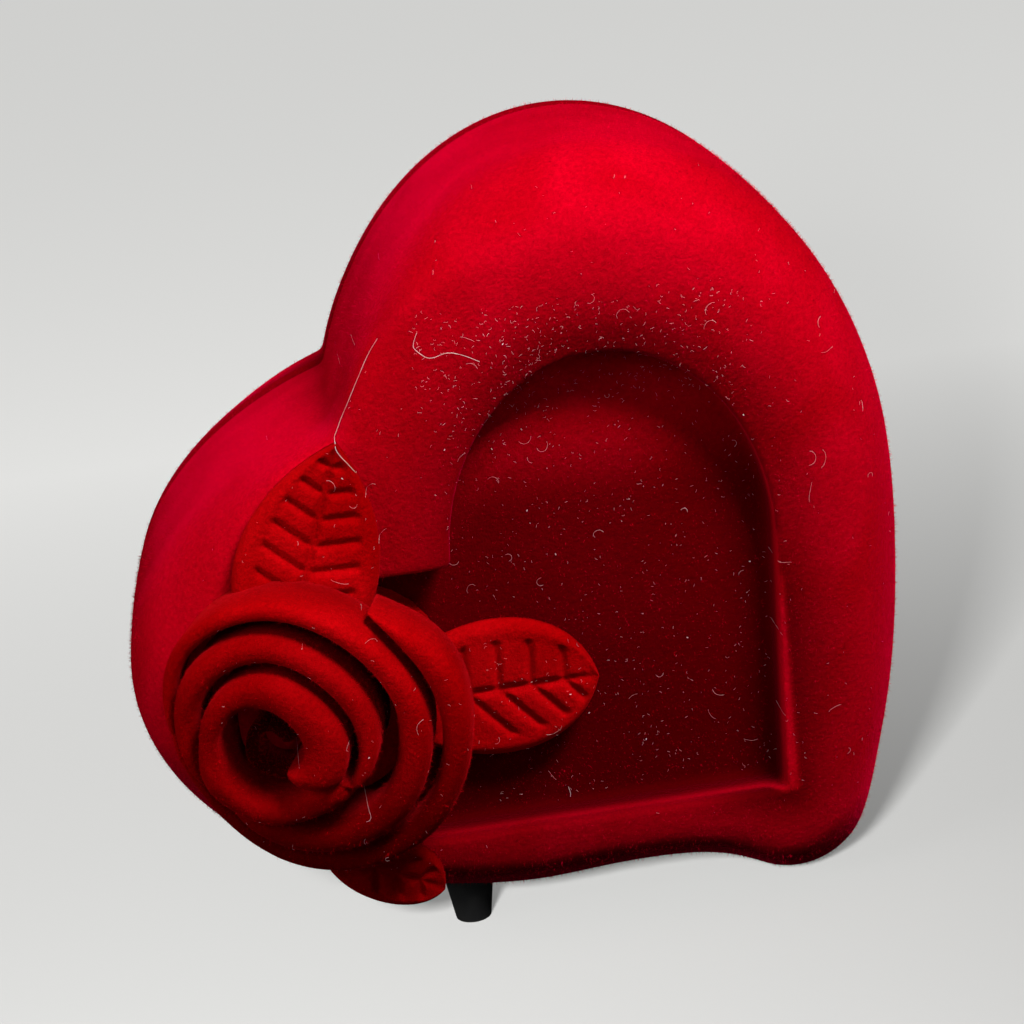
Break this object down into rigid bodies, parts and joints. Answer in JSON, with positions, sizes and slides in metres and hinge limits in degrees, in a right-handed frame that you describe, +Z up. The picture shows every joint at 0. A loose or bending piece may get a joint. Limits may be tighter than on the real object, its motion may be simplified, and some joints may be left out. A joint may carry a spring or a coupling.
{
  "type": "wind-up music box",
  "caption": "Red velvet-flocked heart-shaped wind-up music box with an arched recess, a rose and leaves on its face and a key at the back.",
  "frame": {"origin": "centre of the whole part's footprint box, on the surface it stands on", "axes": "+X to the part's right seen from the front, +Y from the face towards the key at the back, +Z up"},
  "size_m": [0.1186, 0.0904, 0.1192],
  "materials": {
    "red_flock": "matte",
    "black_rubber": "matte",
    "zinc_steel": "satin",
    "cast_zinc": "satin",
    "comb_steel": "satin",
    "plated_steel": "satin",
    "spring_steel": "satin",
    "gilt_brass": "satin",
    "brass": "satin",
    "nylon": "matte"
  },
  "bodies": {
    "case": {"front_shell": "red_flock", "back_cover": "red_flock", "case_screws": "zinc_steel", "foot_front": "black_rubber", "foot_rear": "black_rubber", "rose_backing": "red_flock", "rose_petal_1": "red_flock", "rose_petal_2": "red_flock", "rose_petal_3": "red_flock", "rose_petal_4": "red_flock", "rose_bud": "red_flock", "leaf_upper": "red_flock", "leaf_right": "red_flock", "leaf_lower": "red_flock", "bedplate": "cast_zinc", "movement_screws": "zinc_steel", "comb": "comb_steel", "comb_screws": "zinc_steel", "barrel_bridge": "plated_steel", "bridge_screws": "zinc_steel", "governor_bracket": "plated_steel", "bracket_screws": "zinc_steel", "clutch_spring": "spring_steel"},
    "key": {"winding_key": "gilt_brass", "winding_arbor": "plated_steel"},
    "barrel": {"spring_barrel": "brass", "barrel_lid": "brass", "mainspring": "spring_steel"},
    "cylinder": {"cylinder": "brass", "cylinder_pins": "comb_steel", "cylinder_arbor": "plated_steel", "cylinder_pinion": "plated_steel", "cylinder_wheel": "brass"},
    "intermediate": {"intermediate_arbor": "plated_steel", "worm_wheel": "nylon"},
    "governor": {"worm_shaft": "plated_steel", "governor_fan": "nylon"}
  },
  "joints": [
    {"name": "key_turn", "type": "hinge", "parent": "case", "child": "key", "pos_m": [0.00024, 0.03341, 0.06], "axis": [0, -1, 0], "continuous": true},
    {"name": "barrel_turn", "type": "hinge", "parent": "case", "child": "barrel", "pos_m": [0.00024, 0.01641, 0.06], "axis": [0, -1, 0], "continuous": true},
    {"name": "cylinder_turn", "type": "hinge", "parent": "case", "child": "cylinder", "pos_m": [0.02324, 0.00941, 0.06], "axis": [1, 0, 0], "continuous": true},
    {"name": "intermediate_turn", "type": "hinge", "parent": "case", "child": "intermediate", "pos_m": [0.03514, 0.01141, 0.05061], "axis": [1, 0, 0], "continuous": true},
    {"name": "governor_turn", "type": "hinge", "parent": "case", "child": "governor", "pos_m": [0.03644, 0.01141, 0.04476], "axis": [0, -1, 0], "continuous": true}
  ],
  "couplings": [
    {"joint": "cylinder_turn", "follows": "barrel_turn", "ratio": 4},
    {"joint": "intermediate_turn", "follows": "barrel_turn", "ratio": -20},
    {"joint": "governor_turn", "follows": "barrel_turn", "ratio": -400}
  ]
}
